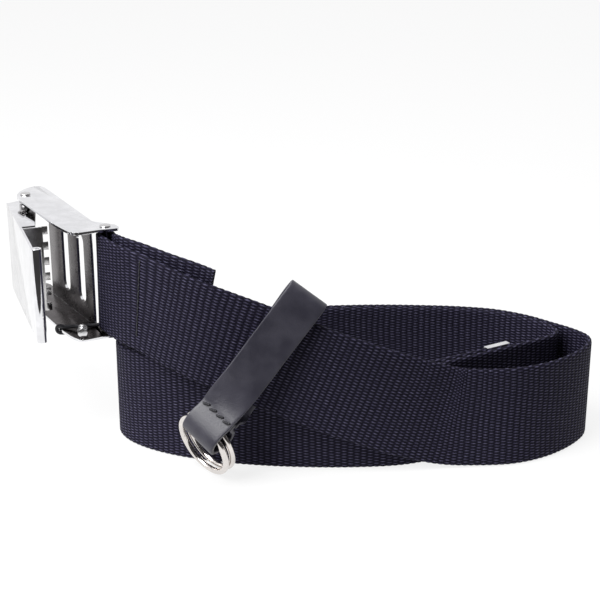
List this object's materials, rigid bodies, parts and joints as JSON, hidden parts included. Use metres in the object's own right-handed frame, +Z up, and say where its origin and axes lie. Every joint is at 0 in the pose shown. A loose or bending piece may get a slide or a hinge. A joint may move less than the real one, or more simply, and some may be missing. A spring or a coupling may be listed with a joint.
{
  "type": "gait belt",
  "caption": "Coiled webbing gait belt standing on edge, with a hinged clamp buckle, a leather keeper and wire rings for a clip.",
  "frame": {"origin": "middle of the footprint, on the surface that the coil's lower edge stands on", "axes": "+Z up, along the width of the coiled webbing; +X from the buckle towards the coil's far bend; +Y away from the side that shows the keeper"},
  "size_m": [0.303, 0.148, 0.109],
  "materials": {
    "webbing": "ribbed weave",
    "thread": "waxed thread",
    "cord": "braided",
    "leather": "smooth grain, soft sheen",
    "bright_metal": "polished plate",
    "pin_metal": "plated steel",
    "ring_metal": "nickel plate",
    "tip_metal": "pressed and plated"
  },
  "bodies": {
    "belt": {"webbing": "webbing", "fold_stitching": "thread", "strap_tip": "tip_metal"},
    "buckle": {"buckle_frame": "bright_metal", "end_bar": "pin_metal", "pivot_pin": "pin_metal", "pin_spacers": "pin_metal", "tie_cord": "cord", "tie_ferrule": "tip_metal"},
    "cover": {"cover_plate": "bright_metal", "tooth_strip": "pin_metal"},
    "keeper": {"keeper_strap": "leather", "keeper_stitching": "thread"},
    "front_ring": {"ring_front": "ring_metal"},
    "back_ring": {"ring_back": "ring_metal"}
  },
  "joints": [
    {"name": "buckle_swing", "type": "hinge", "parent": "belt", "child": "buckle", "pos_m": [-0.09145, 0.00012, 0.0799], "axis": [0, 0, 1], "range_deg": [-30, 30]},
    {"name": "cover_hinge", "type": "hinge", "parent": "buckle", "child": "cover", "pos_m": [-0.14141, 0.05809, 0.0799], "axis": [0, 0, -1], "range_deg": [-14, 60]},
    {"name": "keeper_slide", "type": "slide", "parent": "belt", "child": "keeper", "axis": [-0.9169, 0.25, 0.311], "range_m": [0, 0.004]},
    {"name": "ring_front_swing", "type": "hinge", "parent": "keeper", "child": "front_ring", "pos_m": [-0.03975, -0.06328, 0.0278], "axis": [0.7012, -0.5419, -0.4633], "range_deg": [-25, 2]},
    {"name": "ring_back_swing", "type": "hinge", "parent": "keeper", "child": "back_ring", "pos_m": [-0.0368, -0.06058, 0.0291], "axis": [0.7012, -0.5419, -0.4633], "range_deg": [-25, 2]}
  ],
  "couplings": [
    {"joint": "ring_back_swing", "follows": "ring_front_swing", "ratio": 1}
  ]
}
